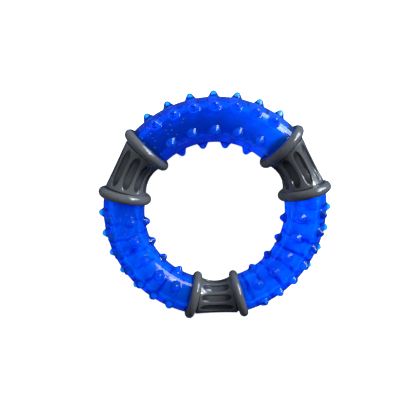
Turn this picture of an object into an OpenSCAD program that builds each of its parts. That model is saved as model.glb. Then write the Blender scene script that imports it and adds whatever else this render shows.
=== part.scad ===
// Ring-shaped rubber chew toy: three studded, see-through tube arcs, whose spigots sit in
// three beaded and fluted connectors with a barbed core pin inside each.
// The ring lies flat in XY with its centre at the origin, and Z is the ring's axis.

/* [Ring] */
// Outside diameter of the ring over the smooth tubes, without the nubs
ring_outer_d = 150; // [140:1:170]
// Outside diameter of the chew tube
tube_d = 27; // [25:0.5:29]
// Diameter of the bore that runs through each chew arc
arc_bore_d = 15; // [13.4:0.2:16.4]
// Diameter of the spigot at either end of a chew arc
spigot_d = 18.4; // [17.6:0.2:19.4]
// How far a spigot reaches into its connector
spigot_l = 9; // [7:0.5:11]

/* [Nubs] */
// Diameter of a nub where it leaves the tube
nub_d = 7.2; // [6:0.1:8]
// Height of a nub above the tube
nub_h = 3.6; // [3:0.1:4.2]
// Radius of the rounded tip of a nub
nub_tip_r = 2.3; // [1.8:0.1:2.5]

/* [Connectors] */
// Distance between the middles of a connector's two beads, along the ring's centre line
bead_spread = 33.5; // [32:0.5:37]
// Thickness of a bead
bead_d = 6.4; // [5.5:0.1:7]
// How far a bead's middle lies outside the tube's skin
bead_lift = 0.5; // [0.2:0.1:1]
// How far the ends of the waist lie below the tube's skin
waist_step = 0.2; // [0.1:0.1:0.6]
// How much further in the middle of the waist is drawn, on the radius
waist_pinch = 1.7; // [1.2:0.1:2.2]
// Width of the crease between the waist and a bead
crease_w = 0.8; // [0.5:0.1:1.2]
// Depth of that crease below the ends of the waist
crease_depth = 0.6; // [0.3:0.1:0.8]
// How far the tips of a flute stay from the creases
flute_end_gap = 1; // [0.5:0.1:2]
// Width of a flute at its middle
flute_w = 5.4; // [4.5:0.1:6]
// Depth of a flute at its middle
flute_depth = 1.3; // [0.8:0.1:1.6]
// Gap between a chew arc and the bead that hugs its end
socket_fit = 0.2; // [0.1:0.05:0.4]
// Gap round a spigot and past its end
spigot_fit = 0.2; // [0.1:0.05:0.4]

/* [Core pins] */
// How far the ends of a pin stay back from the middles of the beads
pin_setback = 1; // [0.5:0.1:1.5]
// Gap round a pin in its bore
pin_fit = 0.2; // [0.1:0.05:0.4]
// Height of a barb above the pin's shank
barb_h = 0.6; // [0.3:0.1:1]
// Distance from one barb to the next
barb_pitch = 2.6; // [2.4:0.1:3]
// Length of a barb's sloping flank
barb_l = 1.8; // [1.4:0.1:2]
// Distance from a pin's bevel to its first barb
barb_inset = 0.6; // [0.4:0.1:1]
// Bevel on the ends of a pin
pin_bevel = 1; // [0.5:0.1:1.5]

/* [Hidden] */

$fn = 96;

// How far a cutting shape runs past the face that it cuts
overrun = 0.5;

tube_r = tube_d / 2;
ring_r = ring_outer_d / 2 - tube_r;
bead_r = bead_d / 2;
bead_ring_r = tube_r + bead_lift;
socket_r = tube_r + socket_fit;
spigot_r = spigot_d / 2;
barb_r = arc_bore_d / 2 - pin_fit;
pin_r = barb_r - barb_h;
waist_half = bead_spread / 2 - bead_r - crease_w;
crease_r = tube_r - waist_step - crease_depth;
flute_half = waist_half - flute_end_gap;
nub_r = nub_d / 2;
nub_root = tube_r - sqrt(tube_r * tube_r - nub_r * nub_r) + overrun;

// Turn round the ring, in degrees, that a length along the centre line makes
function turn(length) = length / ring_r * 180 / PI;

// Chew arcs and connectors take turns round the ring: the angle that a pair of them covers
segment_angle = 120;
bead_angle = turn(bead_spread / 2);
arc_angle = segment_angle - 2 * bead_angle;

// Rows of nubs on a chew arc: angle round the tube from the ring's outside towards the top,
// number of nubs, and angle round the ring from one nub to the next
nub_row_angles = [0, 60, 120, 180, 240, 300];
nub_row_counts = [7, 7, 5, 4, 5, 7];
nub_pitch_angles = [11, 10.3, 14.5, 17.5, 14.5, 10.3];
// Flutes round a connector, and how blunt their tips are
flute_count = 10;
flute_bluntness = 3;
// Steps along a flute, and the width that its outline keeps at the tips, as a share of a pitch
flute_steps = 12;
flute_tip_share = 0.12;

barb_count = 2;

// Colours of the two rubbers and of the pins' hard plastic
chew_blue = [0.02, 0.22, 0.86, 0.8];
connector_grey = [0.25, 0.27, 0.28];
pin_black = [0.09, 0.1, 0.11];

// Puts its children at an angle round the ring, standing on the tube's centre line with Z along it
module on_centre_line(ring_angle) {
    rotate([0, 0, ring_angle])
        translate([ring_r, 0, 0])
            rotate([-90, 0, 0])
                children();
}

// A stretch of curved rod that follows the tube's centre line
module curved_rod(r, from, to) {
    rotate([0, 0, from])
        rotate_extrude(angle = to - from)
            translate([ring_r, 0])
                circle(r);
}

// One nub on the tube's skin, with its root inside the wall: a cone that runs smoothly into a ball
module nub() {
    tip_y = nub_h - nub_tip_r;
    slope = atan2(tip_y, -nub_r) - asin(nub_tip_r / norm([nub_r, tip_y]));
    meet = [nub_tip_r * sin(slope), tip_y - nub_tip_r * cos(slope)];
    rotate_extrude()
        intersection() {
            union() {
                polygon([
                    [0, -nub_root],
                    [nub_r - nub_root / tan(slope), -nub_root],
                    meet,
                    [0, meet[1]]
                ]);
                translate([0, tip_y])
                    circle(nub_tip_r);
            }
            translate([0, -nub_h])
                square(2 * nub_h);
        }
}

// One chew arc, with its middle at an angle round the ring
module chew_arc(middle) {
    from = middle - arc_angle / 2;
    to = middle + arc_angle / 2;
    color(chew_blue) {
        difference() {
            union() {
                curved_rod(tube_r, from, to);
                curved_rod(spigot_r, from - turn(spigot_l), to + turn(spigot_l));
            }
            curved_rod(arc_bore_d / 2, from - turn(spigot_l + overrun), to + turn(spigot_l + overrun));
        }
        for (row = [0 : len(nub_row_angles) - 1])
            for (i = [0 : nub_row_counts[row] - 1])
                rotate([0, 0, middle + (i - (nub_row_counts[row] - 1) / 2) * nub_pitch_angles[row]])
                    translate([ring_r, 0, 0])
                        rotate([0, 90 - nub_row_angles[row], 0])
                            translate([0, 0, tube_r])
                                nub();
    }
}

// Radius of the drawn-in waist at a share of its half length
function waist_r(share) = tube_r - waist_step - waist_pinch * (1 - share * share);

// What is left of a flute's width and depth at a share of its half length
function flute_fade(share) = 1 - pow(min(1, abs(share)), flute_bluntness);

// The fluted waist: rings of points that stand square to the ring's centre line. On each ring
// a flute has a point on either rim, one on its floor, one on each wall and one on the rib beside it
module fluted_waist(middle, phase) {
    pitch = 360 / flute_count;
    rim_share = flute_w / (2 * PI * waist_r(0) / flute_count);
    stations = concat(
        [-waist_half],
        [for (i = [0 : flute_steps]) flute_half * (2 * i / flute_steps - 1)],
        [waist_half]
    );
    points = [
        for (along = stations)
            let (
                fade = flute_fade(along / flute_half),
                skin_r = waist_r(along / waist_half),
                rim = max(flute_tip_share, rim_share * sqrt(fade)),
                floor_r = skin_r - flute_depth * fade,
                wall_r = skin_r - flute_depth * fade * 3 / 4,
                ring_angle = middle + turn(along)
            )
            for (flute = [0 : flute_count - 1])
                for (spot = [
                    [0, floor_r], [rim / 2, wall_r], [rim, skin_r],
                    [1, skin_r], [2 - rim, skin_r], [2 - rim / 2, wall_r]
                ])
                    let (
                        around = phase + pitch * (flute + spot[0] / 2),
                        out = ring_r + spot[1] * cos(around)
                    )
                    [out * cos(ring_angle), out * sin(ring_angle), spot[1] * sin(around)]
    ];
    sides = len(points) / len(stations);
    last = len(points) - sides;
    polyhedron(
        points = points,
        faces = concat(
            [
                for (i = [0 : len(stations) - 2])
                    for (j = [0 : sides - 1])
                        let (
                            k = (j + 1) % sides,
                            a = i * sides,
                            b = a + sides
                        )
                        each [[a + j, a + k, b + j], [a + k, b + k, b + j]]
            ],
            [[for (j = [sides - 1 : -1 : 0]) j]],
            [[for (j = [0 : sides - 1]) last + j]]
        ),
        convexity = 6
    );
}

module bead() {
    rotate_extrude()
        translate([bead_ring_r, 0])
            circle(bead_r);
}

// One connector: its waist, a creased neck and a bead at each end, the sockets for the ends of
// the chew arcs, and the bore for its pin
module connector(middle, phase) {
    color(connector_grey)
        difference() {
            union() {
                fluted_waist(middle, phase);
                for (side = [-1, 1])
                    rotate([0, 0, middle])
                        mirror([0, side < 0 ? 1 : 0, 0])
                            curved_rod(crease_r, turn(waist_half - overrun), bead_angle + turn(overrun));
                for (side = [-1, 1])
                    on_centre_line(middle + side * bead_angle)
                        bead();
            }
            curved_rod(pin_r + pin_fit, middle - bead_angle - turn(bead_r), middle + bead_angle + turn(bead_r));
            for (side = [-1, 1])
                rotate([0, 0, middle])
                    mirror([0, side < 0 ? 1 : 0, 0]) {
                        curved_rod(socket_r, bead_angle, bead_angle + turn(bead_d));
                        curved_rod(
                            spigot_r + spigot_fit,
                            bead_angle - turn(spigot_l + spigot_fit),
                            bead_angle + turn(overrun)
                        );
                    }
        }
}

// One core pin: a bent shank with bevelled ends, and barbs that grip the bores of both spigots
module core_pin(middle) {
    half = bead_spread / 2 - pin_setback;
    first_barb = half - pin_bevel - barb_inset - barb_l;
    color(pin_black) {
        difference() {
            curved_rod(pin_r, middle - turn(half), middle + turn(half));
            for (side = [-1, 1])
                on_centre_line(middle + side * turn(half))
                    mirror([0, 0, side < 0 ? 1 : 0])
                        rotate_extrude()
                            polygon([
                                [pin_r - pin_bevel - overrun, overrun],
                                [pin_r + overrun, overrun],
                                [pin_r + overrun, -pin_bevel - overrun]
                            ]);
        }
        for (side = [-1, 1])
            for (i = [0 : barb_count - 1])
                on_centre_line(middle + side * turn(first_barb - i * barb_pitch))
                    mirror([0, 0, side < 0 ? 1 : 0])
                        cylinder(h = barb_l, r1 = barb_r, r2 = pin_r - barb_h);
    }
}

module top_chew_arc() { chew_arc(90); }
module left_chew_arc() { chew_arc(210); }
module right_chew_arc() { chew_arc(330); }
module left_connector() { connector(150, 23); }
module right_connector() { connector(30, 12); }
module bottom_connector() { connector(270, 3); }
module left_core_pin() { core_pin(150); }
module right_core_pin() { core_pin(30); }
module bottom_core_pin() { core_pin(270); }

top_chew_arc();
left_chew_arc();
right_chew_arc();
left_connector();
right_connector();
bottom_connector();
left_core_pin();
right_core_pin();
bottom_core_pin();
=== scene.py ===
"""The looks of a studded chew ring on a pale floor.

See-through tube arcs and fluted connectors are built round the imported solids, and the core pins
are the solids themselves.
"""

import logging
import math
from dataclasses import dataclass
from enum import Enum
from typing import Any, Mapping, Sequence, Union

import bpy
import numpy as np
from mathutils import Euler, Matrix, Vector


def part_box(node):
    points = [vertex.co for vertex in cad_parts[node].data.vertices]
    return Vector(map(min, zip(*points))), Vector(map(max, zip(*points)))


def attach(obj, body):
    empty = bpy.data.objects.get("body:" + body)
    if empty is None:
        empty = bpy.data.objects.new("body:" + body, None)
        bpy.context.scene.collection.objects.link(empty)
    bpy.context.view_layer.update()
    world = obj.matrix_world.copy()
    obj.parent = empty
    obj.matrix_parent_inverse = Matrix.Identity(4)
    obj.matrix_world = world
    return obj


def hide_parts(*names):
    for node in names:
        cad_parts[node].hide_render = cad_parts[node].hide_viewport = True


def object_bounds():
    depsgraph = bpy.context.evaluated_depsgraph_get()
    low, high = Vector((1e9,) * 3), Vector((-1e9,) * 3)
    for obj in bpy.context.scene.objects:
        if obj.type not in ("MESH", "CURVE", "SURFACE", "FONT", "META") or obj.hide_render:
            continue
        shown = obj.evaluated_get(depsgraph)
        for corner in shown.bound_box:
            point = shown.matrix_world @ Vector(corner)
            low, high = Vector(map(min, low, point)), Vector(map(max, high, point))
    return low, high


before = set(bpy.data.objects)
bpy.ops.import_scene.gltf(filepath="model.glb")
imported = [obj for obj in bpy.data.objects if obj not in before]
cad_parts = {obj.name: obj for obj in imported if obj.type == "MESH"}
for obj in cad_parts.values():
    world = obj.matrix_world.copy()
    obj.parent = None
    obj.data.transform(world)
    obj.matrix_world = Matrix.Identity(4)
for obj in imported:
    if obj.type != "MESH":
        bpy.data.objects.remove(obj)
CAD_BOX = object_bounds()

log = logging.getLogger("chew_ring")

MM = 0.001
BODY = "root"
SKIN = "skin"
OUTWARD = "outward"
STRAIGHT_OUT = 90.0
STRAIGHT_AHEAD = 0.0
FULL_TURN = 360

Colour = tuple[float, float, float]
Span = tuple[float, float]
Operand = Union["Value", float]
Station = tuple[float, float, float]


class Slot(Enum):
    """Names of the record's material slots; each built piece is handed one, which goes unused."""

    CHEW = "chew_blue"
    CONNECTOR = "connector_grey"


def metres(span: Span) -> Span:
    """A pair of lengths in millimetres as metres."""
    return span[0] * MM, span[1] * MM


class Value:
    """A socket of a node tree that takes part in Python sums."""

    def __init__(self, tree: "Tree", socket: bpy.types.NodeSocket) -> None:
        """Keeps the tree that new nodes go into, and the socket that holds the value."""
        self.tree = tree
        self.socket = socket

    @property
    def is_vector(self) -> bool:
        """Whether the socket holds three numbers and not one."""
        return self.socket.type in {"VECTOR", "RGBA"}

    def __add__(self, other: Operand) -> "Value":
        """The sum of two values."""
        return self.tree.maths("ADD", self, other)

    def __radd__(self, other: Operand) -> "Value":
        """The sum of a number and a value."""
        return self.tree.maths("ADD", other, self)

    def __sub__(self, other: Operand) -> "Value":
        """What is left when the other value is taken off."""
        return self.tree.maths("SUBTRACT", self, other)

    def __rsub__(self, other: Operand) -> "Value":
        """A number less this value."""
        return self.tree.maths("SUBTRACT", other, self)

    def __mul__(self, other: Operand) -> "Value":
        """The product of two values."""
        return self.tree.maths("MULTIPLY", self, other)

    def __rmul__(self, other: Operand) -> "Value":
        """The product of a number and a value."""
        return self.tree.maths("MULTIPLY", other, self)

    def __truediv__(self, other: Operand) -> "Value":
        """This value divided by another."""
        return self.tree.maths("DIVIDE", self, other)

    def __rtruediv__(self, other: Operand) -> "Value":
        """A number divided by this value."""
        return self.tree.maths("DIVIDE", other, self)

    def __pow__(self, other: Operand) -> "Value":
        """This value raised to a power."""
        return self.tree.maths("POWER", self, other)

    def __abs__(self) -> "Value":
        """The size of this value without its sign."""
        return self.tree.maths("ABSOLUTE", self)

    def root(self) -> "Value":
        """The square root."""
        return self.tree.maths("SQRT", self)

    def split(self) -> tuple["Value", "Value", "Value"]:
        """The three numbers of a vector."""
        parts = self.tree.add("ShaderNodeSeparateXYZ", inputs={"Vector": self}).socket.node
        return tuple(Value(self.tree, output) for output in parts.outputs)


class Tree:
    """A node tree of a material, the world or a modifier, with short calls that fill it."""

    def __init__(self, nodes: bpy.types.NodeTree) -> None:
        """Empties the tree, so that every node in it is one of this script's."""
        self.nodes = nodes
        nodes.nodes.clear()

    @staticmethod
    def find(sockets: Sequence[bpy.types.NodeSocket], key: Union[str, int]) -> bpy.types.NodeSocket:
        """Finds a socket.

        Args:
            sockets: The inputs or the outputs of a node.
            key: A place in them, an identifier or a name.

        Returns:
            The socket that the key means.
        """
        if isinstance(key, int):
            return sockets[key]
        exact = [socket for socket in sockets if socket.identifier == key]
        named = [socket for socket in sockets if socket.name == key]
        return (exact or named)[0]

    def add(
        self,
        kind: str,
        settings: Mapping[str, Any] | None = None,
        inputs: Mapping[Union[str, int], Any] | None = None,
        output: Union[str, int] = 0,
    ) -> Value:
        """Adds a node.

        Args:
            kind: The node's type.
            settings: What is set on the node before its sockets.
            inputs: A value, a plain number or several links for each socket that isn't left as it is.
            output: The socket that the caller goes on with, or an input if the node has no output.

        Returns:
            The value at that socket.
        """
        node = self.nodes.nodes.new(kind)
        for name, setting in (settings or {}).items():
            setattr(node, name, setting)
        for key, given in (inputs or {}).items():
            socket = self.find(node.inputs, key)
            for one in given if isinstance(given, list) else [given]:
                self.feed(socket, one)
        return Value(self, self.find(node.outputs or node.inputs, output))

    def feed(self, socket: bpy.types.NodeSocket, given: Any) -> None:
        """Links a value to a socket, or sets a constant on it.

        Args:
            socket: An input of a node.
            given: The value, or else a plain number, a colour or another constant.
        """
        if isinstance(given, Value):
            self.nodes.links.new(given.socket, socket)
        elif socket.type == "RGBA":
            socket.default_value = (*given, 1.0)[:4]
        elif socket.type == "VECTOR" and isinstance(given, (int, float)):
            socket.default_value = (given, given, given)
        else:
            socket.default_value = given

    def maths(self, operation: str, *operands: Operand) -> Value:
        """Adds one step of a sum.

        Args:
            operation: The Math or Vector Math node's operation.
            operands: Values and plain numbers, in the node's order.

        Returns:
            The result, a vector if any operand is one.
        """
        vectors = any(isinstance(one, Value) and one.is_vector for one in operands)
        kind = "ShaderNodeVectorMath" if vectors else "ShaderNodeMath"
        output = "Value" if operation in {"DOT_PRODUCT", "LENGTH"} else 0
        return self.add(kind, {"operation": operation}, dict(enumerate(operands)), output)

    def vector(self, x: Operand, y: Operand, z: Operand) -> Value:
        """Three numbers as one vector."""
        return self.add("ShaderNodeCombineXYZ", inputs={"X": x, "Y": y, "Z": z})

    def mix(self, share: Operand, low: Union[Value, Colour], high: Union[Value, Colour]) -> Value:
        """A colour between two, by a share from 0 to 1."""
        ends = {"Factor_Float": share, "A_Color": low, "B_Color": high}
        return self.add("ShaderNodeMix", {"data_type": "RGBA"}, ends, "Result_Color")

    def step(self, value: Value, start: float, end: float) -> Value:
        """0 before the start and 1 after the end, with a smooth rise between."""
        ends = {"Value": value, "From Min": start, "From Max": end}
        return self.add("ShaderNodeMapRange", {"interpolation_type": "SMOOTHSTEP"}, ends)

    def mirrored(self) -> Value:
        """1 for a ray that has just been mirrored by a surface, and 0 for every other ray."""
        glossy = self.add("ShaderNodeLightPath", output="Is Glossy Ray")
        return glossy * (1 - self.passed())

    def passed(self) -> Value:
        """1 for a ray that has just passed through a clear surface, and 0 for every other ray."""
        return self.add("ShaderNodeLightPath", output="Is Transmission Ray")

    def noise(self, place: Value, size_mm: float, detail: float = 2.0, twist: float = 0.0) -> Value:
        """Adds cloudy noise.

        Args:
            place: Where the noise is read.
            size_mm: The size of its lumps in millimetres.
            detail: How many finer layers it has.
            twist: How far its lumps are drawn out of shape.

        Returns:
            The noise, from 0 to 1 and about an even half.
        """
        return self.add(
            "ShaderNodeTexNoise",
            {"noise_dimensions": "3D"},
            {"Vector": place, "Scale": 1 / (size_mm * MM), "Detail": detail, "Distortion": twist},
            "Fac",
        )

    def bump(self, relief: Value, height_mm: float, strength: float) -> Value:
        """Adds a relief that is too fine for the mesh.

        Args:
            relief: The relief's height at each point, in parts of height_mm.
            height_mm: What a relief of 1 stands for in millimetres.
            strength: How strongly the relief shows.

        Returns:
            The normal that follows the relief.
        """
        return self.add(
            "ShaderNodeBump",
            inputs={"Strength": strength, "Distance": height_mm * MM, "Height": relief},
        )


def new_material(name: str) -> tuple[bpy.types.Material, Tree]:
    """Starts a material.

    Args:
        name: The material's name.

    Returns:
        The material and its empty node tree.
    """
    material = bpy.data.materials.new(name)
    material.use_nodes = True
    return material, Tree(material.node_tree)


@dataclass(frozen=True)
class RingPlan:
    """The sizes that the pieces share, in millimetres and degrees."""

    outer_d: float = 150.0
    tube_d: float = 27.0
    bore_d: float = 15.0
    spigot_d: float = 18.4
    spigot_l: float = 9.0
    bead_spread: float = 33.5
    segment_angle: float = 120.0
    first_joint: float = 30.0

    @property
    def tube_r(self) -> float:
        """Radius of the chew tube."""
        return self.tube_d / 2

    @property
    def ring_r(self) -> float:
        """Radius of the centre line of the ring."""
        return self.outer_d / 2 - self.tube_r

    @property
    def spigot_r(self) -> float:
        """Radius of the spigots on a chew arc's ends."""
        return self.spigot_d / 2

    @property
    def bead_at(self) -> float:
        """Distance along the centre line from a connector's middle to the middle of its bead."""
        return self.bead_spread / 2

    @property
    def arc_half(self) -> float:
        """Half the length of a chew arc along the centre line."""
        return math.radians(self.segment_angle) * self.ring_r / 2 - self.bead_at

    def loft(self, name: str, middle: float, stations: Sequence[Station], around: int) -> bpy.types.Mesh:
        """Sweeps a closed section round the tube's centre line.

        Args:
            name: The new mesh's name.
            middle: Angle round the ring of the piece's middle, in degrees.
            stations: The section's points: the place along the centre line, how far the point
                lies straight on from there, and its radius.
            around: How many points stand round the centre line at each station.

        Returns:
            A closed mesh whose faces point outwards.
        """
        along, ahead, radius = np.array(stations).T
        angle = np.radians(middle) + along / self.ring_r
        turn = np.arange(around) * 2 * math.pi / around
        out = self.ring_r + radius[:, None] * np.cos(turn)
        x = out * np.cos(angle)[:, None] - (ahead * np.sin(angle))[:, None]
        y = out * np.sin(angle)[:, None] + (ahead * np.cos(angle))[:, None]
        z = radius[:, None] * np.sin(turn) + 0 * x
        points = np.stack([x, y, z], axis=-1).reshape(-1, 3) * MM
        here = np.arange(len(stations) * around).reshape(len(stations), around)
        ahead_of = np.roll(here, -1, axis=0)
        quads = np.stack(
            [here, ahead_of, np.roll(ahead_of, -1, axis=1), np.roll(here, -1, axis=1)], axis=-1
        ).reshape(-1, 4)
        corners = points[quads]
        spans = np.cross(corners[:, 1] - corners[:, 0], corners[:, 2] - corners[:, 0])
        if np.einsum("ij,ij->", corners[:, 0], spans) < 0:
            quads = quads[:, ::-1]
        mesh = bpy.data.meshes.new(name)
        mesh.from_pydata(points.tolist(), [], quads.tolist())
        return mesh


def mark_skin(mesh: bpy.types.Mesh, shown: Sequence[bool], around: int) -> None:
    """Marks the points that a modifier may raise or sink.

    Args:
        mesh: A mesh from a loft.
        shown: Whether each station of the loft lies on the piece's outer skin.
        around: How many points each station has.
    """
    marks = mesh.attributes.new(SKIN, "BOOLEAN", "POINT")
    marks.data.foreach_set("value", np.repeat(np.array(shown, bool), around))


def curve_points(
    centre: tuple[float, float], radius: float, start: float, end: float, steps: int
) -> list[tuple[float, float]]:
    """Points on a round stretch of a section.

    Args:
        centre: Its centre, ahead of the station and out from the centre line.
        radius: Its radius.
        start: Angle of its first point in degrees, from straight ahead towards outwards.
        end: Angle of its last point.
        steps: How many steps it takes between them.

    Returns:
        The points, each a place ahead and a radius.
    """
    angles = np.radians(np.linspace(start, end, steps + 1))
    return [(centre[0] + radius * math.cos(a), centre[1] + radius * math.sin(a)) for a in angles]


class Shaper:
    """A modifier tree that works on a piece's base mesh, with a named input for each of its sizes."""

    def __init__(self, name: str) -> None:
        """Starts a tree with its geometry and material inputs and its output.

        Args:
            name: The tree's name.
        """
        self.group = bpy.data.node_groups.new(name, "GeometryNodeTree")
        self.tree = Tree(self.group)
        self.sizes: dict[str, float] = {}
        self.group.interface.new_socket("Geometry", in_out="INPUT", socket_type="NodeSocketGeometry")
        self.group.interface.new_socket("Finish", in_out="INPUT", socket_type="NodeSocketMaterial")
        self.group.interface.new_socket("Geometry", in_out="OUTPUT", socket_type="NodeSocketGeometry")
        self.entry = self.group.nodes.new("NodeGroupInput")

    def size(self, name: str, amount: float, kind: str = "NodeSocketFloat") -> Value:
        """Adds a named input and gives it its amount.

        Args:
            name: What the size is, in plain words.
            amount: Its amount, in metres or radians, or a plain count.
            kind: The socket's type.

        Returns:
            The input as a value.
        """
        self.group.interface.new_socket(name, in_out="INPUT", socket_type=kind)
        self.sizes[name] = amount
        return self.given(name)

    def given(self, name: str) -> Value:
        """One of the tree's inputs as a value."""
        return Value(self.tree, Tree.find(self.entry.outputs, name))

    def move_skin(self, place: Value) -> None:
        """Moves the marked points, and ends the tree in smooth, real geometry with its finish.

        Args:
            place: Where each marked point goes.
        """
        tree = self.tree
        shown = tree.add("GeometryNodeInputNamedAttribute", {"data_type": "BOOLEAN"}, {"Name": SKIN})
        moved = tree.add(
            "GeometryNodeSetPosition",
            inputs={"Geometry": self.given("Geometry"), "Selection": shown, "Position": place},
        )
        smooth = tree.add("GeometryNodeSetShadeSmooth", inputs={"Geometry": moved})
        real = tree.add("GeometryNodeRealizeInstances", inputs={"Geometry": smooth})
        finish = self.given("Finish")
        dressed = tree.add("GeometryNodeSetMaterial", inputs={"Geometry": real, "Material": finish})
        tree.add("NodeGroupOutput", inputs={"Geometry": dressed})

    def bake(self, name: str, base: bpy.types.Mesh, finish: bpy.types.Material) -> bpy.types.Object:
        """Runs the tree on a base mesh.

        Args:
            name: The finished piece's name.
            base: The mesh that the tree starts from.
            finish: The material that it ends in.

        Returns:
            An object at the origin with the result as its plain mesh, and no modifier.
        """
        piece = bpy.data.objects.new(name, base)
        bpy.context.scene.collection.objects.link(piece)
        modifier = piece.modifiers.new(self.group.name, "NODES")
        modifier.node_group = self.group
        for item in self.group.interface.items_tree:
            if item.in_out == "INPUT" and item.name in self.sizes:
                modifier[item.identifier] = self.sizes[item.name]
            elif item.in_out == "INPUT" and item.name == "Finish":
                modifier[item.identifier] = finish
        bpy.context.view_layer.update()
        shaped = piece.evaluated_get(bpy.context.evaluated_depsgraph_get())
        mesh = bpy.data.meshes.new_from_object(shaped)
        piece.modifiers.remove(modifier)
        piece.data = mesh
        mesh.name = name
        bpy.data.meshes.remove(base)
        for mark in (SKIN, OUTWARD):
            if mark in mesh.attributes:
                mesh.attributes.remove(mesh.attributes[mark])
        return piece


class RingPlace:
    """Where a shaded point lies on the ring."""

    def __init__(self, tree: Tree, plan: RingPlan) -> None:
        """Works the place out from the object's own coordinates, in metres where not said otherwise.

        Args:
            tree: The material's tree.
            plan: The ring's sizes.
        """
        self.point = tree.add("ShaderNodeTexCoord", output="Object")
        x, self.y, z = self.point.split()
        self.turn = tree.maths("ARCTAN2", self.y, x)
        out = (x * x + self.y * self.y).root() - plan.ring_r * MM
        self.radius = (out * out + z * z).root()
        segment = math.radians(plan.segment_angle)
        third = tree.maths("PINGPONG", self.turn / segment - plan.first_joint / plan.segment_angle, 0.5)
        self.from_connector_mm = third * segment * plan.ring_r


@dataclass(frozen=True)
class ChewRubber:
    """Clear royal blue rubber: glossy, tinted by its depth, with painted shade in bands, spots and rings,
    painted light on its studs and from its own body, smudges and dust.

    Lengths are in millimetres, and a span is where a soft step starts and where it ends.
    """

    tint: Colour = (0.0, 0.51, 0.95)
    # Painted shade: the dark tint of the bands and folds across the lower arcs, also taken by the clouds.
    band_shade_and_cloud_tint: Colour = (0.0, 0.04, 0.56)
    # Painted shade: the deeper tint of the shade spots and of the shade next to the connectors.
    painted_shade_tint: Colour = (0.0, 0.15, 0.52)
    # Painted shade: the dark tint round the studs' feet.
    foot_shade_tint: Colour = (0.0, 0.07, 0.34)
    # Painted light: the paler tint of the studs, as if lit through their thin rubber.
    stud_lit_tint: Colour = (0.01, 0.44, 0.88)
    # Painted light: the rubber gives off a faint blue light of its own, in place of light scattered
    # inside it.
    painted_glow: Colour = (0.0, 0.022, 0.33)
    painted_glow_strength: float = 0.13
    absorbs: Colour = (0.0, 0.58, 0.965)
    absorbs_per_mm: float = 0.25
    clear: float = 0.96
    refraction: float = 1.37
    specular: float = 0.1
    coat_refraction: float = 1.47
    coat_roughness: float = 0.03
    body_roughness: float = 0.11
    smudge_roughness: float = 0.16
    smudge_lump: float = 9.0
    smudge_edge: Span = (0.52, 0.72)
    smudge_dulling: float = 0.3
    bore: Span = (9.0, 8.0)
    bore_dulling: float = 0.2
    # Painted shade round the studs' feet: where it starts and ends from the tube's centre line, and its
    # strength.
    foot: Span = (13.53, 13.7)
    foot_shade_share: float = 0.62
    # Where the studs' painted light starts and ends, from the tube's centre line.
    stud: Span = (13.8, 14.8)
    # Painted shade next to each connector: its reach from the bead and its strength.
    joint_shade_reach: Span = (9.0, 0.0)
    joint_shade_share: float = 0.8
    # Painted shade spots: an x and a y, the reach of full and of no shade, and a strength.
    painted_shade_spots: tuple[tuple[float, float, float, float, float], ...] = (
        (-28.0, 51.0, 24.0, 90.0, 0.92),
        (-48.0, 38.0, 12.0, 44.0, 0.85),
        (-20.0, -62.0, 8.0, 46.0, 0.5),
    )
    # Painted shade: bands across the lower arcs, drawn out by noise and broken by gaps, and folds among
    # them.
    band_pitch: float = 10.3
    band_lump: float = 14.0
    band_drift: float = 0.9
    band_edge: Span = (0.28, 0.14)
    band_share: float = 0.85
    band_rows: Span = (40.0, -10.0)
    gap_lump: float = 9.0
    gap_edge: Span = (0.36, 0.50)
    fold_edge: Span = (0.50, 0.52)
    fold_share: float = 0.14
    cloud_lump: float = 16.0
    cloud_twist: float = 1.5
    cloud_edge: Span = (0.45, 0.7)
    cloud_share: float = 0.12
    dust_colour: Colour = (0.26, 0.40, 0.78)
    dust_roughness: float = 0.7
    dust_pitch: float = 1.9
    dust_edge: Span = (0.05, 0.15)
    dust_share: float = 0.7
    dust_lump: float = 25.0
    dust_lump_edge: Span = (0.5, 0.6)
    dust_lump_share: float = 0.5
    dust_at: tuple[float, float, float] = (-44.0, 48.0, 7.0)
    dust_reach: Span = (26.0, 12.0)
    ripple_lump: float = 3.0
    ripple_height: float = 0.1
    ripple_strength: float = 0.15

    def dust(self, tree: Tree, point: Value) -> Value:
        """Dust on the skin, thickest round one place.

        Args:
            tree: The material's tree.
            point: The shaded point.

        Returns:
            1 on a speck and 0 between the specks.
        """
        specks = tree.add(
            "ShaderNodeTexVoronoi",
            {"feature": "F1"},
            {"Vector": point, "Scale": 1 / (self.dust_pitch * MM), "Randomness": 1.0},
            "Distance",
        )
        lumps = tree.step(tree.noise(point, self.dust_lump, detail=1.0), *self.dust_lump_edge)
        away = tree.maths("LENGTH", point - tree.vector(*(at * MM for at in self.dust_at)))
        dusty = lumps * self.dust_lump_share + tree.step(away, *metres(self.dust_reach))
        return (1 - tree.step(specks, *self.dust_edge)) * dusty

    def marks(self, tree: Tree, where: RingPlace) -> Value:
        """Painted shade in bands and folds across the lower arcs, and faint clouds of tone all over.

        Args:
            tree: The material's tree.
            where: The shaded point's place on the ring.

        Returns:
            How strong the painted shade and the clouds are, from 0 to 1.
        """
        drift = tree.noise(where.point, self.band_lump, detail=2.0)
        number = where.turn / math.radians(self.band_pitch) + drift * self.band_drift
        wave = tree.maths("PINGPONG", number, 0.5) * 2
        gaps = tree.step(tree.noise(where.point, self.gap_lump, detail=1.0), *self.gap_edge)
        streaks = tree.step(wave, *self.band_edge) * gaps
        folds = tree.step(drift, *self.fold_edge) * self.fold_share
        bands = streaks * self.band_share + folds
        haze = tree.noise(where.point, self.cloud_lump, detail=3.0, twist=self.cloud_twist)
        clouds = tree.step(haze, *self.cloud_edge)
        return bands * tree.step(where.y, *metres(self.band_rows)) + clouds * self.cloud_share

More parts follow.
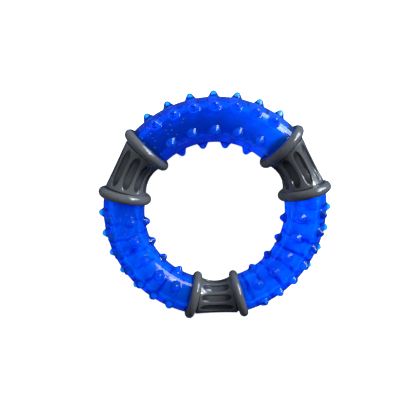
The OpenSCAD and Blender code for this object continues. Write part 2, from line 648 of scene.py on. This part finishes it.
    def colour(self, tree: Tree, plan: RingPlan, where: RingPlace) -> Value:
        """The tint, with painted shade and painted light: darkest in painted shade next to the
        connectors, round the studs' feet and in a few spots, and palest in the studs, painted as if lit
        through their thin rubber.

        Args:
            tree: The material's tree.
            plan: The ring's sizes.
            where: The shaded point's place on the ring.

        Returns:
            The colour.
        """
        # Painted shade bands and folds, and clouds of tone, darken the tint.
        colour = tree.mix(self.marks(tree, where), self.tint, self.band_shade_and_cloud_tint)
        # Painted shade: the tint deepens round each spot, where less light reaches the tube.
        for spot_x, spot_y, full, none, strength in self.painted_shade_spots:
            away = tree.maths("LENGTH", where.point - tree.vector(spot_x * MM, spot_y * MM, 0.0))
            colour = tree.mix(tree.step(away, none * MM, full * MM) * strength, colour, self.painted_shade_tint)
        # Painted shade: the tint deepens next to each connector.
        near = tree.step(where.from_connector_mm - plan.bead_at, *self.joint_shade_reach)
        colour = tree.mix(near * self.joint_shade_share, colour, self.painted_shade_tint)
        # Painted shade in the crease round each stud's foot.
        foot = tree.step(where.radius, *metres(self.foot))
        colour = tree.mix(foot * self.foot_shade_share, colour, self.foot_shade_tint)
        # Painted light: the studs take a paler tint, as if lit through their thin rubber.
        return tree.mix(tree.step(where.radius, *metres(self.stud)), colour, self.stud_lit_tint)

    def make(self, plan: RingPlan) -> bpy.types.Material:
        """Builds the material, which is dull in the bore and glossy on the skin.

        Args:
            plan: The ring's sizes.

        Returns:
            The material.
        """
        material, tree = new_material("chew_rubber")
        where = RingPlace(tree, plan)
        smudge = tree.step(tree.noise(where.point, self.smudge_lump, detail=4.0), *self.smudge_edge)
        rough = self.body_roughness + smudge * (self.smudge_roughness - self.body_roughness)
        inside = tree.step(where.radius, *metres(self.bore))
        ripples = tree.noise(where.point, self.ripple_lump, detail=2.0)
        bump = tree.bump(ripples, self.ripple_height, self.ripple_strength)
        shader = tree.add(
            "ShaderNodeBsdfPrincipled",
            inputs={
                "Base Color": self.colour(tree, plan, where),
                "Roughness": rough + inside * self.bore_dulling,
                "IOR": self.refraction,
                "Transmission Weight": self.clear,
                "Specular IOR Level": self.specular,
                "Coat Weight": 1.0 - smudge * self.smudge_dulling,
                "Coat Roughness": self.coat_roughness,
                "Coat IOR": self.coat_refraction,
                # Painted light given off by the rubber itself, in place of light scattered inside it.
                "Emission Color": self.painted_glow,
                "Emission Strength": self.painted_glow_strength,
                "Normal": bump,
            },
        )
        speck = tree.add(
            "ShaderNodeBsdfPrincipled",
            inputs={"Base Color": self.dust_colour, "Roughness": self.dust_roughness},
        )
        dust = self.dust(tree, where.point) * self.dust_share
        dusted = tree.add("ShaderNodeMixShader", inputs={0: dust, 1: shader, 2: speck})
        murk = tree.add(
            "ShaderNodeVolumeAbsorption",
            inputs={"Color": self.absorbs, "Density": self.absorbs_per_mm / MM},
        )
        tree.add("ShaderNodeOutputMaterial", inputs={"Surface": dusted, "Volume": murk})
        return material


@dataclass(frozen=True)
class ConnectorRubber:
    """Charcoal rubber with a satin gloss, a fine grain, painted shade in its flutes and a paler rub on
    its beads.

    Lengths are in millimetres, and a span is where a soft step starts and where it ends.
    """

    body: Colour = (0.040, 0.044, 0.049)
    cast: Colour = (0.058, 0.063, 0.070)
    rub: Colour = (0.062, 0.066, 0.072)
    # Painted shade: the near-black colour of the flutes' hollows.
    painted_groove_shade: Colour = (0.008, 0.009, 0.011)
    refraction: float = 1.52
    coat_refraction: float = 1.6
    coat_roughness: float = 0.09
    roughness: float = 0.17
    patch_roughness: float = 0.05
    rub_roughness: float = 0.21
    crest: Span = (15.2, 16.6)
    rub_share: float = 0.3
    scuff_lump: float = 1.4
    scuff_edge: Span = (0.45, 0.75)
    patch_lump: float = 6.0
    patch_twist: float = 0.6
    patch_height: float = 1.5
    grain_lump: float = 0.45
    grain_height: float = 0.05
    grain_strength: float = 0.03
    waist_r: float = 13.3
    waist_pinch: float = 1.7
    waist_half: float = 12.75
    # Painted shade in the flutes: the depths over which it rises on their walls and eases on their
    # floors, and its shares.
    wall: Span = (0.12, 0.6)
    wall_share: float = 0.85
    floor: Span = (0.7, 1.2)
    floor_share: float = 0.4

    def shade(self, tree: Tree, where: RingPlace) -> Value:
        """How far a point takes the painted shade of the flutes, by its depth below the waist.

        Args:
            tree: The material's tree.
            where: The shaded point's place on the ring.

        Returns:
            The share, largest on the flutes' walls and less on their floors.
        """
        along = where.from_connector_mm / self.waist_half
        sunk = self.waist_r - self.waist_pinch * (1 - along * along) - where.radius / MM
        walls = tree.step(sunk, *self.wall) * self.wall_share
        return walls - tree.step(sunk, *self.floor) * self.floor_share

    def make(self, plan: RingPlan) -> bpy.types.Material:
        """Builds the material, whose rub follows the distance from the ring's centre line.

        Args:
            plan: The ring's sizes.

        Returns:
            The material.
        """
        material, tree = new_material("connector_rubber")
        where = RingPlace(tree, plan)
        patches = tree.noise(where.point, self.patch_lump, detail=4.0, twist=self.patch_twist)
        scuffs = tree.step(tree.noise(where.point, self.scuff_lump, detail=3.0), *self.scuff_edge)
        rub = tree.step(where.radius, *metres(self.crest)) * scuffs
        grain = tree.noise(where.point, self.grain_lump, detail=3.0)
        relief = grain + patches * self.patch_height
        worn = tree.mix(patches, self.body, self.cast)
        # Painted shade: the flutes darken by their depth.
        fluted = tree.mix(self.shade(tree, where), worn, self.painted_groove_shade)
        rough = self.roughness + patches * self.patch_roughness
        shader = tree.add(
            "ShaderNodeBsdfPrincipled",
            inputs={
                "Base Color": tree.mix(rub * self.rub_share, fluted, self.rub),
                "Roughness": rough + rub * (self.rub_roughness - self.roughness),
                "IOR": self.refraction,
                "Coat Weight": 1.0,
                "Coat IOR": self.coat_refraction,
                "Coat Roughness": self.coat_roughness,
                "Normal": tree.bump(relief, self.grain_height, self.grain_strength),
            },
        )
        tree.add("ShaderNodeOutputMaterial", inputs={"Surface": shader})
        return material


@dataclass(frozen=True)
class PinNylon:
    """Near-black moulded nylon with a dull skin."""

    body: Colour = (0.008, 0.009, 0.012)
    cast: Colour = (0.020, 0.022, 0.027)
    roughness: float = 0.5
    patch_roughness: float = 0.15
    patch_lump: float = 3.0
    grain_lump: float = 0.4
    grain_height: float = 0.04
    grain_strength: float = 0.3

    def make(self) -> bpy.types.Material:
        """Builds the material, which is the same all over the pins.

        Returns:
            The material.
        """
        material, tree = new_material("pin_nylon")
        point = tree.add("ShaderNodeTexCoord", output="Object")
        patches = tree.noise(point, self.patch_lump, detail=3.0)
        grain = tree.noise(point, self.grain_lump, detail=2.0)
        shader = tree.add(
            "ShaderNodeBsdfPrincipled",
            inputs={
                "Base Color": tree.mix(patches, self.body, self.cast),
                "Roughness": self.roughness + patches * self.patch_roughness,
                "Normal": tree.bump(grain, self.grain_height, self.grain_strength),
            },
        )
        tree.add("ShaderNodeOutputMaterial", inputs={"Surface": shader})
        return material


@dataclass
class Piece:
    """What every sub-assembly has: the plan that it follows, its node's name and its middle."""

    plan: RingPlan
    node: str
    middle: float

    def settle(self, piece: bpy.types.Object, slot: str) -> None:
        """Puts a finished piece in its node's stead and reports it.

        Args:
            piece: The piece's object.
            slot: Not used.
        """
        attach(piece, BODY)
        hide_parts(self.node)
        low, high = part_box(self.node)
        reach = max(
            abs(corner[axis] - pick(point.co[axis] for point in piece.data.vertices))
            for corner, pick in ((low, min), (high, max))
            for axis in range(3)
        )
        faces = len(piece.data.polygons)
        log.info("%s: %d faces, %.3f mm off its node's box", piece.name, faces, reach / MM)


@dataclass
class ChewArc(Piece):
    """A see-through tube arc with rows of blunt studs."""

    stud_d: float = 7.2
    stud_h: float = 3.6
    tip_r: float = 2.3
    fillet: float = 0.45
    end_gap: float = 0.05
    end_round: float = 0.4
    around: int = 216
    skin_step: float = 0.4
    bore_step: float = 2.0
    corner_steps: int = 4
    tip_steps: int = 2
    spigot_steps: int = 5
    row_angles: tuple[float, ...] = (0, 60, 120, 180, 240, 300)
    row_counts: tuple[int, ...] = (7, 7, 5, 4, 5, 7)
    pitch_angles: tuple[float, ...] = (11, 10.3, 14.5, 17.5, 14.5, 10.3)

    @property
    def shoulder(self) -> tuple[float, float]:
        """Where a stud's cone meets its ball tip.

        Returns:
            The radius and the height there.
        """
        ball_at = self.stud_h - self.tip_r
        root_r = self.stud_d / 2
        slope = math.atan2(ball_at, -root_r) - math.asin(self.tip_r / math.hypot(root_r, ball_at))
        return self.tip_r * math.sin(slope), ball_at - self.tip_r * math.cos(slope)

    def tube(self) -> bpy.types.Mesh:
        """Sweeps the plain tube: its skin, its rounded ends, its spigots and its bore.

        Returns:
            The mesh, with its skin marked.
        """
        half = self.plan.arc_half - self.end_gap
        reach = self.plan.arc_half + self.plan.spigot_l
        tube_r = self.plan.tube_r
        spigot_r = self.plan.spigot_r
        bore_r = self.plan.bore_d / 2
        straight = half - self.end_round
        quarter = (self.end_round, STRAIGHT_OUT, STRAIGHT_AHEAD)
        corner = curve_points((straight, tube_r - self.end_round), *quarter, self.corner_steps)
        end_of_spigot = (reach - self.end_round, spigot_r - self.end_round)
        tip = curve_points(end_of_spigot, *quarter, self.tip_steps)
        skin_steps = round(2 * straight / self.skin_step)
        bore_steps = round(2 * reach / self.bore_step)
        skin = [(along, tube_r) for along in np.linspace(-straight, straight, skin_steps + 1)]
        root = [(half, (tube_r + spigot_r) / 2)]
        spigot = np.linspace(half, end_of_spigot[0], self.spigot_steps + 1)
        root += [(along, spigot_r) for along in spigot[:-1]]
        end = corner[1:] + root + tip
        other = [(-along, radius) for along, radius in reversed(end)]
        bore = [(along, bore_r) for along in np.linspace(reach, -reach, bore_steps + 1)]
        section = skin + end + bore + other
        mesh = self.plan.loft(self.node, self.middle, [(s, 0.0, r) for s, r in section], self.around)
        mark_skin(mesh, [i < len(skin) for i in range(len(section))], self.around)
        return mesh

    def studs(self) -> Shaper:
        """Makes the tree that raises the studs out of the tube's skin.

        Returns:
            The tree and its sizes.
        """
        shaper = Shaper("raised_studs")
        tree = shaper.tree
        ring_r = shaper.size("Ring radius", self.plan.ring_r * MM)
        tube_r = shaper.size("Tube radius", self.plan.tube_r * MM)
        middle = shaper.size("Middle angle", math.radians(self.middle))
        root_r = shaper.size("Stud radius", self.stud_d / 2 * MM)
        height = shaper.size("Stud height", self.stud_h * MM)
        tip_r = shaper.size("Tip radius", self.tip_r * MM)
        shoulder_r = shaper.size("Shoulder radius", self.shoulder[0] * MM)
        shoulder_h = shaper.size("Shoulder height", self.shoulder[1] * MM)
        fillet = shaper.size("Fillet", self.fillet * MM)
        rows = []
        for tilt, count, pitch in zip(self.row_angles, self.row_counts, self.pitch_angles):
            row_tilt = shaper.size(f"Tilt of row {tilt}", math.radians(tilt))
            row_count = shaper.size(f"Studs in row {tilt}", count, "NodeSocketInt")
            row_pitch = shaper.size(f"Pitch of row {tilt}", math.radians(pitch))
            number = tree.add("GeometryNodeInputIndex")
            turn = middle + (number - (row_count - 1) / 2) * row_pitch
            cos_turn = tree.maths("COSINE", turn)
            sin_turn = tree.maths("SINE", turn)
            cos_tilt = tree.maths("COSINE", row_tilt)
            outward = tree.vector(cos_tilt * cos_turn, cos_tilt * sin_turn, tree.maths("SINE", row_tilt))
            foot = tree.vector(ring_r * cos_turn, ring_r * sin_turn, 0.0) + outward * tube_r
            points = tree.add("GeometryNodePoints", inputs={"Count": row_count, "Position": foot})
            rows.append(
                tree.add(
                    "GeometryNodeStoreNamedAttribute",
                    {"data_type": "FLOAT_VECTOR", "domain": "POINT"},
                    {"Geometry": points, "Name": OUTWARD, "Value": outward},
                )
            )
        feet = tree.add("GeometryNodeJoinGeometry", inputs={"Geometry": rows})
        place = tree.add("GeometryNodeInputPosition")
        nearest = tree.add("GeometryNodeSampleNearest", {"domain": "POINT"}, {"Geometry": feet})
        axis = tree.add(
            "GeometryNodeInputNamedAttribute", {"data_type": "FLOAT_VECTOR"}, {"Name": OUTWARD}
        )
        foot, axis = (
            tree.add(
                "GeometryNodeSampleIndex",
                {"data_type": "FLOAT_VECTOR", "domain": "POINT"},
                {"Geometry": feet, "Value": sampled, "Index": nearest},
            )
            for sampled in (place, axis)
        )
        away = place - foot
        up = tree.maths("DOT_PRODUCT", away, axis)
        sideways = away - axis * up
        reach = tree.maths("LENGTH", sideways)
        ball = height - tip_r + tree.maths("MAXIMUM", tip_r * tip_r - reach * reach, 0.0).root()
        cone = (root_r - reach) * shoulder_h / (root_r - shoulder_r)
        on_cone = tree.maths("GREATER_THAN", reach, shoulder_r)
        stud = cone * on_cone + ball * (1 - on_cone)
        raised = tree.maths("SMOOTH_MAX", up, stud, fillet)
        shaper.move_skin(foot + sideways + axis * raised)
        return shaper

    def build(self, finish: bpy.types.Material) -> bpy.types.Object:
        """Makes the arc and puts it in its node's stead.

        Args:
            finish: The clear rubber.

        Returns:
            The arc's object.
        """
        piece = self.studs().bake(f"{self.node}_rubber", self.tube(), finish)
        self.settle(piece, Slot.CHEW.value)
        return piece


@dataclass
class Connector(Piece):
    """A grey rubber connector: a bead at either end, a drawn-in waist and scooped flutes."""

    phase: float = 0.0
    bead_d: float = 6.4
    bead_lift: float = 0.5
    waist_step: float = 0.2
    waist_pinch: float = 1.7
    crease_w: float = 0.8
    crease_depth: float = 0.7
    crease_round: float = 0.25
    flute_end_gap: float = 1.0
    flute_w: float = 5.4
    flute_depth: float = 1.3
    flute_wall: float = 3.0
    flute_count: int = 10
    flute_bluntness: float = 3.4
    flute_shoal: float = 0.75
    floor_round_share: float = 0.35
    rim_round: float = 0.18
    socket_fit: float = 0.2
    spigot_fit: float = 0.2
    pin_bore_r: float = 6.9
    around: int = 360
    waist_steps: int = 120
    bead_steps: int = 36
    edge_steps: int = 4
    floor_steps: int = 3
    hole_steps: int = 6
    bore_steps: int = 5

    @property
    def waist_half(self) -> float:
        """Half the length of the waist between its creases."""
        return self.plan.bead_at - self.bead_d / 2 - self.crease_w

    def waist_r(self, along: float) -> float:
        """Radius of the waist without its flutes, at a place along it."""
        share = along / self.waist_half
        return self.plan.tube_r - self.waist_step - self.waist_pinch * (1 - share * share)

    def body(self) -> bpy.types.Mesh:
        """Sweeps the plain connector: waist, creases, beads, sockets for tube and spigot, and bore.

        Returns:
            The mesh, with its waist marked.
        """
        plan = self.plan
        bead_r = self.bead_d / 2
        bead_at = plan.tube_r + self.bead_lift
        crease_r = self.waist_r(self.waist_half) - self.crease_depth
        socket_r = plan.tube_r + self.socket_fit
        stations = np.linspace(0, self.waist_half, self.waist_steps // 2 + 1)
        waist = [(s, 0.0, self.waist_r(s)) for s in stations]
        edge_at = (self.waist_half, waist[-1][2] - self.crease_round)
        edge = curve_points(edge_at, self.crease_round, STRAIGHT_OUT, STRAIGHT_AHEAD, self.edge_steps)
        side = [(x, 0.0, r) for x, r in edge[1:]] + [(edge[-1][0], 0.0, crease_r)]
        foot = -math.degrees(math.acos(-math.sqrt(bead_r**2 - (bead_at - crease_r) ** 2) / bead_r))
        lip = -math.degrees(math.asin((bead_at - socket_r) / bead_r))
        arc = curve_points((0.0, bead_at), bead_r, FULL_TURN + foot, lip, self.bead_steps)
        bead = [(plan.bead_at, x, r) for x, r in arc]
        socket = [(plan.bead_at, x, socket_r) for x in (arc[-1][0] / 2, 0.0)]
        hole_r = plan.spigot_r + self.spigot_fit
        hole_end = plan.bead_at - plan.spigot_l - self.spigot_fit
        floor_radii = np.linspace(socket_r, hole_r, self.floor_steps + 1)
        floor = [(plan.bead_at, 0.0, r) for r in floor_radii[1:]]
        hole_stations = np.linspace(plan.bead_at, hole_end, self.hole_steps + 1)
        hole = [(s, 0.0, hole_r) for s in hole_stations[1:]]
        bore = [(s, 0.0, self.pin_bore_r) for s in np.linspace(hole_end, 0.0, self.bore_steps + 1)]
        half = waist + side + bead + socket + floor + hole + bore
        section = half + [(-s, -x, r) for s, x, r in reversed(half[1:-1])]
        mesh = plan.loft(self.node, self.middle, section, self.around)
        skin = len(waist)
        shown = [i < skin or i > len(section) - skin for i in range(len(section))]
        mark_skin(mesh, shown, self.around)
        return mesh

    def flutes(self) -> Shaper:
        """Makes the tree that scoops the flutes out of the waist.

        Returns:
            The tree and its sizes.
        """
        shaper = Shaper("scooped_flutes")
        tree = shaper.tree
        middle = (self.middle + FULL_TURN / 2) % FULL_TURN - FULL_TURN / 2
        ring_r = shaper.size("Ring radius", self.plan.ring_r * MM)
        turn_middle = shaper.size("Middle angle", math.radians(middle))
        phase = shaper.size("First flute's angle", math.radians(self.phase))
        count = shaper.size("Flutes", self.flute_count, "NodeSocketInt")
        half = shaper.size("Half length", (self.waist_half - self.flute_end_gap) * MM)
        width = shaper.size("Flute width", self.flute_w * MM)
        depth = shaper.size("Flute depth", self.flute_depth * MM)
        bluntness = shaper.size("Bluntness", self.flute_bluntness)
        shoal = shaper.size("Shallowing at the ends", self.flute_shoal)
        wall = shaper.size("Wall steepness", self.flute_wall)
        waist_r = shaper.size("Waist radius", self.waist_r(0) * MM)
        rim_round = shaper.size("Rim rounding", self.rim_round * MM)
        place = tree.add("GeometryNodeInputPosition")
        x, y, z = place.split()
        from_axis = (x * x + y * y).root()
        out = from_axis - ring_r
        turn = tree.maths("ARCTAN2", y, x)
        along = (turn - turn_middle) * ring_r
        around = tree.maths("ARCTAN2", z, out)
        share = tree.maths("MINIMUM", abs(along) / half, 1.0)
        fade = 1 - share ** bluntness
        floor = depth * (1 - shoal * share * share)
        pitch = 2 * math.pi / count
        apart = tree.maths("PINGPONG", (around - phase) / pitch, 0.5) * 2
        widest = width / (pitch * waist_r)
        inside = fade - (apart / widest) ** 2
        floor_round = depth * self.floor_round_share
        scoop = tree.maths("SMOOTH_MIN", depth * wall * inside, floor, floor_round)
        sunk = tree.maths("SMOOTH_MAX", scoop, 0.0, rim_round * fade)
        radius = (out * out + z * z).root()
        flat = out / radius
        outward = tree.vector(flat * x / from_axis, flat * y / from_axis, z / radius)
        shaper.move_skin(place - outward * sunk)
        return shaper

    def build(self, finish: bpy.types.Material) -> bpy.types.Object:
        """Makes the connector and puts it in its node's stead.

        Args:
            finish: The grey rubber.

        Returns:
            The connector's object.
        """
        piece = self.flutes().bake(f"{self.node}_rubber", self.body(), finish)
        self.settle(piece, Slot.CONNECTOR.value)
        return piece


@dataclass
class CorePin(Piece):
    """A barbed pin inside a connector, whose own solid shows through the clear rubber."""

    def build(self, finish: bpy.types.Material) -> bpy.types.Object:
        """Gives the pin's own solid its finish.

        Args:
            finish: The nylon.

        Returns:
            The node's object.
        """
        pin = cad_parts[self.node]
        pin.data.materials.clear()
        pin.data.materials.append(finish)
        log.info("%s: kept, %d faces", self.node, len(pin.data.polygons))
        return pin


@dataclass(frozen=True)
class Lamp:
    """A soft rectangular lamp that faces the ring's centre, placed by its compass and height angles."""

    name: str
    compass: float
    height: float
    distance: float
    width: float
    tall: float
    power: float
    colour: Colour = (1.0, 1.0, 1.0)
    mirrored: bool = True

    def light(self) -> None:
        """Hangs the lamp in the scene."""
        data = bpy.data.lights.new(self.name, "AREA")
        data.shape = "RECTANGLE"
        data.size = self.width * MM
        data.size_y = self.tall * MM
        data.energy = self.power
        data.color = self.colour
        lamp = bpy.data.objects.new(self.name, data)
        around = math.radians(self.compass)
        up = math.radians(self.height)
        flat = math.cos(up)
        direction = Vector((flat * math.cos(around), flat * math.sin(around), math.sin(up)))
        lamp.location = direction * self.distance * MM
        lamp.rotation_euler = direction.to_track_quat("Z", "Y").to_euler()
        lamp.visible_glossy = self.mirrored
        lamp.visible_transmission = self.mirrored
        bpy.context.scene.collection.objects.link(lamp)


LAMPS = (
    Lamp(
        "window",
        compass=43,
        height=12,
        distance=900,
        width=620,
        tall=370,
        power=4.6,
        colour=(0.72, 0.86, 1.0),
    ),
    Lamp("skylight", compass=44, height=29, distance=900, width=130, tall=270, power=0.9),
    Lamp("day_side", compass=38, height=20, distance=900, width=400, tall=240, power=19, mirrored=False),
    Lamp(
        "back_fill",
        compass=128,
        height=42,
        distance=260,
        width=120,
        tall=120,
        power=0.58,
        mirrored=False,
    ),
    Lamp("high_lamp", compass=30, height=35, distance=800, width=80, tall=200, power=1.1),
)


@dataclass(frozen=True)
class Studio:
    """The floor, the lamps, the surroundings and the camera, in millimetres and degrees."""

    lamps: tuple[Lamp, ...] = LAMPS
    camera_place: tuple[float, float, float] = (-10.3, 47.3, 198.5)
    camera_turn: tuple[float, float, float] = (-15.36, -0.32, -1.50)
    focal_share: float = 299.0 / 416
    shift: tuple[float, float] = (0.0149, 0.0423)
    sensor: float = 36.0
    nearest: float = 10.0
    floor_size: float = 6000.0
    floor_colour: Colour = (0.86, 0.86, 0.86)
    floor_glow: Colour = (0.96, 0.96, 0.96)
    # Painted reflection: the floor's colour in reflections, dark, and paler behind the ring.
    floor_mirrored: Colour = (0.004, 0.012, 0.03)
    painted_reflection_behind: Colour = (0.04, 0.06, 0.10)
    floor_roughness: float = 0.8
    floor_specular: float = 0.1
    behind: Span = (60.0, 80.0)
    cloud_lump: float = 60.0
    cloud_shade: float = 0.97
    sky: Colour = (0.065, 0.075, 0.095)
    sky_mirrored: Colour = (0.006, 0.010, 0.02)
    sky_through: Colour = (0.85, 0.92, 1.0)
    sky_seen: Colour = (0.74, 0.77, 0.81)

    def floor(self) -> None:
        """Lays the pale floor under the ring's lowest point."""
        half = self.floor_size / 2 * MM
        level = CAD_BOX[0][2]
        mesh = bpy.data.meshes.new("floor")
        corners = [(-half, -half, level), (half, -half, level), (half, half, level), (-half, half, level)]
        mesh.from_pydata(corners, [], [(0, 1, 2, 3)])
        material, tree = new_material("floor_paper")
        point = tree.add("ShaderNodeTexCoord", output="Object")
        cloud = tree.noise(point, self.cloud_lump, detail=3.0)
        shaded = tuple(part * self.cloud_shade for part in self.floor_colour)
        mirrored = tree.mirrored()
        # Painted reflection: the floor shows dark in reflections, with a paler stretch behind the ring,
        # and pale otherwise.
        behind = tree.step(point.split()[1], *metres(self.behind))
        paper = tree.mix(cloud, self.floor_colour, shaded)
        dark = tree.mix(behind, self.floor_mirrored, self.painted_reflection_behind)
        shader = tree.add(
            "ShaderNodeBsdfPrincipled",
            inputs={
                "Base Color": tree.mix(mirrored, paper, self.floor_mirrored),
                "Roughness": self.floor_roughness,
                "Specular IOR Level": self.floor_specular,
                "Emission Color": tree.mix(mirrored, self.floor_glow, dark),
                "Emission Strength": 1.0,
            },
        )
        tree.add("ShaderNodeOutputMaterial", inputs={"Surface": shader})
        mesh.materials.append(material)
        floor = bpy.data.objects.new("floor", mesh)
        bpy.context.scene.collection.objects.link(floor)

    def surroundings(self) -> None:
        """Sets a soft even light all round."""
        world = bpy.data.worlds.new("studio")
        world.use_nodes = True
        tree = Tree(world.node_tree)
        colour = tree.mix(tree.mirrored(), self.sky, self.sky_mirrored)
        colour = tree.mix(tree.passed(), colour, self.sky_through)
        seen = tree.add("ShaderNodeLightPath", output="Is Camera Ray")
        colour = tree.mix(seen, colour, self.sky_seen)
        even = tree.add("ShaderNodeBackground", inputs={"Color": colour, "Strength": 1.0})
        tree.add("ShaderNodeOutputWorld", inputs={"Surface": even})
        bpy.context.scene.world = world

    def camera(self) -> None:
        """Sets up the camera as the photograph was taken: near, from the front, looking down."""
        data = bpy.data.cameras.new("camera")
        data.sensor_width = self.sensor
        data.lens = self.focal_share * self.sensor
        data.shift_x, data.shift_y = self.shift
        data.clip_start = self.nearest * MM
        camera = bpy.data.objects.new("camera", data)
        camera.location = Vector(self.camera_place) * MM
        camera.rotation_mode = "ZYX"
        camera.rotation_euler = Euler([math.radians(turn) for turn in self.camera_turn], "ZYX")
        bpy.context.scene.collection.objects.link(camera)
        bpy.context.scene.camera = camera

    def set_up(self) -> None:
        """Builds the whole studio, with plain picture colours."""
        self.camera()
        self.floor()
        self.surroundings()
        for lamp in self.lamps:
            lamp.light()
        bpy.context.scene.view_settings.view_transform = "Standard"


@dataclass
class ChewRing:
    """The whole ring: three of each piece, turn by turn."""

    plan: RingPlan

    def build(self) -> list[bpy.types.Object]:
        """Makes every piece.

        Returns:
            The pieces' objects.
        """
        chew = ChewRubber().make(self.plan)
        grey = ConnectorRubber().make(self.plan)
        nylon = PinNylon().make()
        arcs = [
            ChewArc(self.plan, "top_chew_arc", 90.0),
            ChewArc(self.plan, "left_chew_arc", 210.0),
            ChewArc(self.plan, "right_chew_arc", 330.0),
        ]
        connectors = [
            Connector(self.plan, "left_connector", 150.0, phase=23.0),
            Connector(self.plan, "right_connector", 30.0, phase=12.0),
            Connector(self.plan, "bottom_connector", 270.0, phase=3.0),
        ]
        pins = [
            CorePin(self.plan, "left_core_pin", 150.0),
            CorePin(self.plan, "right_core_pin", 30.0),
            CorePin(self.plan, "bottom_core_pin", 270.0),
        ]
        made = [arc.build(chew) for arc in arcs]
        made += [connector.build(grey) for connector in connectors]
        made += [pin.build(nylon) for pin in pins]
        return made


def main() -> None:
    """Builds the studio and the ring."""
    logging.basicConfig(level=logging.INFO, format="%(name)s: %(message)s")
    Studio().set_up()
    pieces = ChewRing(RingPlan()).build()
    log.info("%d pieces", len(pieces))


if __name__ == "__main__":
    main()
